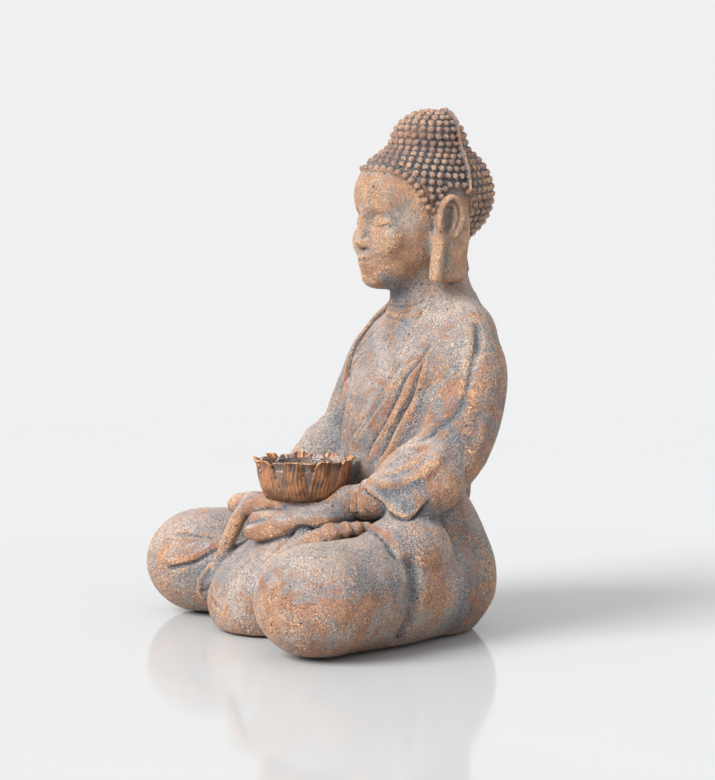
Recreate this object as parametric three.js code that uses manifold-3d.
// Seated garden statue that holds a lotus tealight bowl. Millimetres, +Z up.
// The figure faces -Y and its own left side is +X. The origin is on the floor, under the middle of the statue.
//
// The statue is a hollow casting laid up in two mould halves. They meet on one plane, which leans back a little,
// and two strips of matting bridge the joint inside. A panel with a drain hole closes the foot, and four thin pads
// carry the weight. The lotus bowl is a casting of its own. It stands on the hands over a peg, and a glass cup
// for a tealight lifts out of it.

import * as THREE from "three";
import { mergeVertices } from "three/addons/utils/BufferGeometryUtils.js";
import Module from "manifold-3d";

const wasm = await Module();
wasm.setup();

// ---- driving dimensions ----
const HEIGHT = 480;
const MIDDLE_Y = 12; // the middle of the statue's depth, in the measures below
const WALL = 8; // thickness of the casting
const GAP = 0.3; // between touching pieces
const FLOOR_WALL = 9; // thickness of the casting where it stands
const RIM_LIFT = 1.3; // underside of the casting above the floor

const SEAM_FOOT_Y = 79; // where the joint between the mould halves meets the floor
const SEAM_LEAN = THREE.MathUtils.degToRad(5.2); // the joint leans back towards the crown

const LOTUS = { y: -34, z: 121, height: 38, footRadius: 29, rimRadius: 47, rimThickness: 4, floor: 9, petals: 9, lobe: 0.03 };
const CUP = { radius: 27, height: 25, wall: 2.2, floor: 4 };
const PEG = { radius: 4, below: 9, above: 5, clearance: 0.3 };

const PANEL = { y: 46, halfWidth: 48, halfDepth: 44, thickness: 3.2, ledge: 6, recess: 4 };
const DRAIN = { radius: 7, y: 20, lip: 3, lipThickness: 1.2, dimple: 2.5 };
const PAD = { radius: 11, thickness: 1, front: [127, -80], rear: [56, 93] };
const STRIP = { halfWidth: 14, thickness: 3, bond: 1.2, bottom: 24, top: 262 };

// ---- how finely the round forms are cut, outside and in the hollow ----
const OUTSIDE = { ballSides: 18, ballRows: 10, limbSides: 12, torsoSides: 28 };
const INSIDE = { ballSides: 12, ballRows: 6, limbSides: 8, torsoSides: 20 };
const TORSO_SQUARENESS = 2.4; // exponent of the superellipse: 2 is an ellipse
const CAP_ANGLES = [0.6, 1.15]; // the rings that round off a limb, in radians from its last point

// ---- the figure, as simple round forms that overlap ----

// Levels of the seat and torso: height, middle (y), half width, depth to the front, depth to the back.
const TORSO = [
  [-6, 58, 92, 56, 56],
  [0, 58, 97, 59, 59],
  [30, 58, 114, 66, 76],
  [62, 57, 114, 70, 77],
  [92, 58, 94, 60, 60],
  [122, 62, 78, 48, 46],
  [150, 68, 76, 50, 42],
  [195, 76, 78, 52, 50],
  [235, 84, 82, 47, 52],
  [262, 92, 72, 42, 47],
  [285, 97, 50, 38, 40],
  [300, 98, 36, 36, 35],
];

// Round masses: middle, radii.
const BALLS = {
  cranium: [[0, 93, 404], [53, 67, 52]],
  crownKnot: [[0, 96, 450], [30, 34, HEIGHT - 450]],
  face: [[0, 72, 364], [43, 46, 58]],
  apron: [[0, -72, 26], [50, 46, 42]],
  lap: [[0, -20, 60], [92, 70, 46]],
  hands: [[0, -38, 108], [46, 27, 15]],
};
const MIRRORED_BALLS = {
  knee: [[127, -80, 48], [57, 56, 50]],
  ear: [[51, 92, 372], [9, 16, 32]],
  earLobe: [[47, 94, 328], [9, 13, 26]],
};

// Limbs: points along the middle, each with a radius.
const NECK = [[0, 98, 280, 38], [0, 95, 305, 35], [0, 92, 335, 36]];
const MIRRORED_LIMBS = {
  upperArm: [[58, 96, 264, 28], [82, 91, 238, 36], [95, 78, 195, 34], [98, 60, 160, 34], [89, 30, 142, 30]],
  forearm: [[94, 36, 144, 27], [72, 2, 132, 20], [44, -24, 114, 14], [14, -40, 108, 11]],
  sleeve: [[98, 44, 104, 27], [90, 6, 102, 20]],
  thigh: [[74, 48, 48, 48], [100, 6, 48, 50], [116, -44, 49, 49]],
  shin: [[108, -78, 44, 36], [64, -68, 38, 32], [14, -60, 40, 30]],
};

// ---- geometry helpers ----

/** A closed manifold solid from any closed three.js geometry. */
function toSolid(geometry) {
  geometry.deleteAttribute("normal");
  geometry.deleteAttribute("uv");
  const merged = mergeVertices(geometry, 1e-4);
  return new wasm.Manifold(
    new wasm.Mesh({
      numProp: 3,
      vertProperties: new Float32Array(merged.attributes.position.array),
      triVerts: new Uint32Array(merged.index.array),
    }),
  );
}

/** A three.js geometry with flat faces from a manifold solid. */
function toGeometry(solid) {
  const { vertProperties, triVerts, numProp } = solid.getMesh();
  const positions = new Float32Array(triVerts.length * 3);
  triVerts.forEach((vertex, corner) => {
    for (let axis = 0; axis < 3; axis += 1) {
      positions[corner * 3 + axis] = vertProperties[vertex * numProp + axis];
    }
  });
  const geometry = new THREE.BufferGeometry();
  geometry.setAttribute("position", new THREE.BufferAttribute(positions, 3));
  geometry.computeVertexNormals();
  return geometry;
}

const detail = (inset) => (inset > 0 ? INSIDE : OUTSIDE);

/** An ellipsoid, made thinner all round by inset. */
function ball([centre, radii], inset = 0) {
  const geometry = new THREE.SphereGeometry(1, detail(inset).ballSides, detail(inset).ballRows);
  geometry.rotateX(Math.PI / 2);
  geometry.scale(...radii.map((radius) => radius - inset));
  geometry.translate(...centre);
  return toSolid(geometry);
}

/** Moves each vertex of a unit cylinder: place(step along it, angle round it, part of its radius). */
function bendCylinder(sides, steps, place) {
  const geometry = new THREE.CylinderGeometry(1, 1, 1, sides, steps);
  const position = geometry.attributes.position;
  for (let i = 0; i < position.count; i += 1) {
    const along = position.getY(i) + 0.5;
    const angle = Math.atan2(position.getX(i), position.getZ(i));
    const point = place(along, angle, Math.hypot(position.getX(i), position.getZ(i)));
    position.setXYZ(i, point.x, point.y, point.z);
  }
  return toSolid(geometry);
}

/** The rings of a limb: middle, direction and radius at each point, and smaller rings that round off both ends. */
function limbRings(points, inset) {
  const curve = new THREE.CatmullRomCurve3(points.map(([x, y, z]) => new THREE.Vector3(x, y, z)));
  const last = points.length - 1;
  const rings = points.map(([, , , radius], i) => ({
    middle: curve.getPoint(i / last),
    direction: curve.getTangent(i / last),
    radius: radius - inset,
  }));
  const cap = (ring, side) =>
    CAP_ANGLES.map((angle) => ({
      middle: ring.middle.clone().addScaledVector(ring.direction, side * ring.radius * Math.sin(angle)),
      direction: ring.direction,
      radius: ring.radius * Math.cos(angle),
    }));
  return [...cap(rings[0], -1).reverse(), ...rings, ...cap(rings[last], 1)];
}

/** A round limb through points that each carry a radius. */
function limb(points, inset = 0) {
  const rings = limbRings(points, inset);
  const steps = rings.length - 1;
  const across = new THREE.Vector3(0.3, 1, 0.2);
  const frames = rings.map(({ direction }) => {
    across.addScaledVector(direction, -across.dot(direction)).normalize();
    return { across: across.clone(), beside: direction.clone().cross(across) };
  });
  return bendCylinder(detail(inset).limbSides, steps, (along, angle, part) => {
    const step = Math.round(along * steps);
    const { middle, radius } = rings[step];
    return middle
      .clone()
      .addScaledVector(frames[step].across, radius * part * Math.cos(angle))
      .addScaledVector(frames[step].beside, radius * part * Math.sin(angle));
  });
}

/** A column whose level outlines are superellipses, with a different depth to the front and to the back. */
function column(levels, inset = 0) {
  const steps = levels.length - 1;
  const power = 2 / TORSO_SQUARENESS;
  const spread = (value) => Math.sign(value) * Math.abs(value) ** power;
  return bendCylinder(detail(inset).torsoSides, steps, (along, angle, part) => {
    const [z, middle, halfWidth, front, back] = levels[Math.round(along * steps)];
    const depth = Math.cos(angle) > 0 ? front : back;
    return new THREE.Vector3(
      spread(Math.sin(angle)) * (halfWidth - inset) * part,
      middle - spread(Math.cos(angle)) * (depth - inset) * part,
      z,
    );
  });
}

function box(from, to) {
  const size = to.map((value, axis) => value - from[axis]);
  const geometry = new THREE.BoxGeometry(...size);
  geometry.translate(...to.map((value, axis) => (value + from[axis]) / 2));
  return geometry;
}

/** An upright cylinder from one height to another. */
function post(x, y, radius, bottom, top, sides = 32) {
  const geometry = new THREE.CylinderGeometry(radius, radius, top - bottom, sides);
  geometry.rotateX(Math.PI / 2);
  geometry.translate(x, y, (top + bottom) / 2);
  return toSolid(geometry);
}

const union = (solids) => solids.reduce((whole, solid) => whole.add(solid));
const mirrorX = (solid) => solid.mirror([1, 0, 0]);
const bothSides = (solid) => [solid, mirrorX(solid)];

// ---- the outer form and the hollow inside it ----

function outerForm() {
  const balls = Object.values(BALLS).map((form) => ball(form));
  const pairs = Object.values(MIRRORED_BALLS).flatMap((form) => bothSides(ball(form)));
  const limbs = Object.values(MIRRORED_LIMBS).flatMap((points) => bothSides(limb(points)));
  const whole = union([column(TORSO), limb(NECK), ...balls, ...pairs, ...limbs]);
  const below = toSolid(box([-400, -400, -100], [400, 400, RIM_LIFT]));
  return whole.subtract(below);
}

function hollow() {
  const { cranium, face } = BALLS;
  const { thigh, upperArm } = MIRRORED_LIMBS;
  const forms = [
    column(TORSO, WALL),
    limb(NECK, WALL),
    ball(cranium, WALL),
    ball(face, WALL),
    ...bothSides(ball(MIRRORED_BALLS.knee, WALL)),
    ...bothSides(limb(thigh, WALL)),
    ...bothSides(limb(upperArm.slice(1, 4), WALL)),
  ];
  const floorWall = toSolid(box([-400, -400, -100], [400, 400, FLOOR_WALL]));
  return union(forms).subtract(floorWall);
}

/** A big box on one side of the joint plane, set back from it. */
function seamSide(direction, setBack) {
  const reach = 600;
  const [near, far] = direction > 0 ? [setBack, reach] : [-reach, -setBack];
  const geometry = box([-reach, near, -reach], [reach, far, reach]);
  geometry.rotateX(-SEAM_LEAN);
  geometry.translate(0, SEAM_FOOT_Y, 0);
  return toSolid(geometry);
}

/** An upright plate with the outline of the base panel, grown by margin. */
function panelPlate(margin, bottom, top) {
  const outline = new THREE.Shape();
  outline.absellipse(0, 0, PANEL.halfWidth + margin, PANEL.halfDepth + margin, 0, Math.PI * 2);
  const geometry = new THREE.ExtrudeGeometry(outline, { depth: top - bottom, bevelEnabled: false, curveSegments: 24 });
  geometry.translate(0, PANEL.y, bottom);
  return toSolid(geometry);
}

function casting() {
  const recess = panelPlate(GAP, -1, RIM_LIFT + PANEL.recess);
  const hatch = panelPlate(-PANEL.ledge, 0, FLOOR_WALL + 1);
  const pegHole = post(0, LOTUS.y, PEG.radius + PEG.clearance, LOTUS.z - PEG.below - PEG.clearance, LOTUS.z + 5, 16);
  const seat = turned(lotusEnvelope(), 32).translate([0, LOTUS.y, LOTUS.z]);
  return outerForm().subtract(hollow()).subtract(union([recess, hatch])).subtract(pegHole).subtract(seat);
}

// ---- pieces ----

function shells() {
  const whole = casting();
  return {
    front: whole.subtract(seamSide(1, -GAP / 2)),
    rear: whole.subtract(seamSide(-1, -GAP / 2)),
  };
}

/** Matting laid inside the torso across the joint, on the figure's left side. */
function seamStrip() {
  const inset = WALL + STRIP.bond;
  const skin = column(TORSO, inset).subtract(column(TORSO, inset + STRIP.thickness));
  const across = toSolid(box([12, -400, STRIP.bottom], [400, 400, STRIP.top]));
  const nearJoint = seamSide(1, -STRIP.halfWidth).intersect(seamSide(-1, -STRIP.halfWidth));
  return skin.intersect(across).intersect(nearJoint);
}

function basePanel() {
  const bottom = RIM_LIFT + PANEL.recess - GAP - PANEL.thickness;
  const plate = panelPlate(0, bottom, bottom + PANEL.thickness);
  return plate.subtract(post(0, DRAIN.y, DRAIN.radius, 0, 20, 24));
}

/** A soft plug with a lip under the panel and a dimple on top. */
function drainPlug() {
  const bottom = RIM_LIFT + PANEL.recess - GAP - PANEL.thickness;
  const stem = DRAIN.radius - GAP;
  const lipTop = bottom - GAP;
  const lipBottom = Math.max(lipTop - DRAIN.lipThickness, 0.2);
  const top = bottom + PANEL.thickness;
  const profile = [
    [0, lipBottom],
    [stem + DRAIN.lip, lipBottom],
    [stem + DRAIN.lip, lipTop],
    [stem, lipTop],
    [stem, top],
    [stem - 0.8, top + 2],
    [DRAIN.dimple, top + 2],
    [0, top],
  ];
  return turned(profile, 24).translate([0, DRAIN.y, 0]);
}

/** A turned solid. Its profile of [radius, height] points goes from the axis, out, up and back to the axis. */
function turned(profile, segments, shapeRadius = null) {
  const points = profile.map(([radius, z]) => new THREE.Vector2(radius, z));
  const geometry = new THREE.LatheGeometry(points, segments);
  geometry.rotateX(Math.PI / 2);
  if (shapeRadius) {
    const position = geometry.attributes.position;
    for (let i = 0; i < position.count; i += 1) {
      const factor = shapeRadius(Math.atan2(position.getY(i), position.getX(i)), position.getZ(i));
      position.setXY(i, position.getX(i) * factor, position.getY(i) * factor);
    }
  }
  return toSolid(geometry);
}

/** The outline of the lotus bowl from its foot to its rim, as [radius, height] points. */
function lotusSide() {
  const { height, footRadius, rimRadius } = LOTUS;
  return [
    [footRadius - 3, 0],
    [footRadius + 6, height * 0.2],
    [rimRadius - 5, height * 0.55],
    [rimRadius, height],
  ];
}

/** The space that the hands leave for the bowl, open at the top. */
function lotusEnvelope() {
  const clearance = GAP + LOTUS.lobe * LOTUS.rimRadius;
  const side = lotusSide().map(([radius, z]) => [radius + clearance, z - GAP]);
  const [rimRadius] = side.at(-1);
  return [[0, -GAP], ...side, [rimRadius, LOTUS.height * 2], [0, LOTUS.height * 2]];
}

/** Bowl with a scalloped, flared wall, one lobe to a petal, and a blind hole for the peg underneath. */
function lotusBowl() {
  const { height, rimRadius, rimThickness, floor, petals, lobe } = LOTUS;
  const innerFoot = CUP.radius + 1;
  const profile = [
    [0, 0],
    ...lotusSide(),
    [rimRadius - rimThickness, height],
    [rimRadius - rimThickness - 5, height * 0.6],
    [innerFoot + 1, floor + 3],
    [innerFoot - 1, floor],
    [0, floor],
  ];
  const lobes = (angle, z) => 1 + lobe * (z / height) * Math.cos(petals * angle);
  const bowl = turned(profile, petals * 6, lobes);
  return bowl.subtract(post(0, 0, PEG.radius + PEG.clearance, -1, PEG.above + PEG.clearance, 16));
}

function glassCup() {
  const { radius, height, wall, floor } = CUP;
  return turned(
    [
      [0, 0.8],
      [radius - 7, 0.8],
      [radius - 6, 0],
      [radius - 3, 0],
      [radius - 1, 2],
      [radius, height - 1],
      [radius - wall / 2, height],
      [radius - wall, height - 1],
      [radius - wall - 0.6, floor + 2],
      [radius - wall - 3, floor],
      [0, floor],
    ],
    40,
  );
}

// ---- materials ----
const material = (color, roughness, metalness, extra = {}) =>
  new THREE.MeshStandardMaterial({ color, roughness, metalness, flatShading: true, ...extra });

const MATERIALS = {
  patina: material(0x8d7363, 0.55, 0.35),
  lotusPatina: material(0x96664a, 0.55, 0.35),
  matting: material(0xb9b39a, 0.9, 0),
  panel: material(0x6f6b66, 0.9, 0),
  rubber: material(0x2b2b2b, 0.85, 0),
  felt: material(0x3f4246, 1, 0),
  peg: material(0x9c9c98, 0.4, 0.9),
  glass: material(0xdfe9ee, 0.05, 0, { transparent: true, opacity: 0.35 }),
};

// ---- assembly ----
const statue = new THREE.Group();
statue.position.y = -MIDDLE_Y;

function addPiece(name, solid, finish, x = 0, y = 0, z = 0) {
  const mesh = new THREE.Mesh(toGeometry(solid), finish);
  mesh.name = name;
  mesh.position.set(x, y, z);
  statue.add(mesh);
}

const { front, rear } = shells();
addPiece("front_shell", front, MATERIALS.patina);
addPiece("rear_shell", rear, MATERIALS.patina);

const strip = seamStrip();
addPiece("seam_strip_left", strip, MATERIALS.matting);
addPiece("seam_strip_right", mirrorX(strip), MATERIALS.matting);

addPiece("base_panel", basePanel(), MATERIALS.panel);
addPiece("drain_plug", drainPlug(), MATERIALS.rubber);

const pad = post(0, 0, PAD.radius, 0, PAD.thickness, 24);
for (const [end, [x, y]] of Object.entries({ front: PAD.front, rear: PAD.rear })) {
  addPiece(`foot_pad_${end}_left`, pad, MATERIALS.felt, x, y);
  addPiece(`foot_pad_${end}_right`, pad, MATERIALS.felt, -x, y);
}

addPiece("lotus_bowl", lotusBowl(), MATERIALS.lotusPatina, 0, LOTUS.y, LOTUS.z);
addPiece(
  "lotus_peg",
  post(0, 0, PEG.radius, -PEG.below, PEG.above, 16),
  MATERIALS.peg,
  0,
  LOTUS.y,
  LOTUS.z,
);
addPiece("glass_cup", glassCup(), MATERIALS.glass, 0, LOTUS.y, LOTUS.z + LOTUS.floor + GAP);

export default statue;
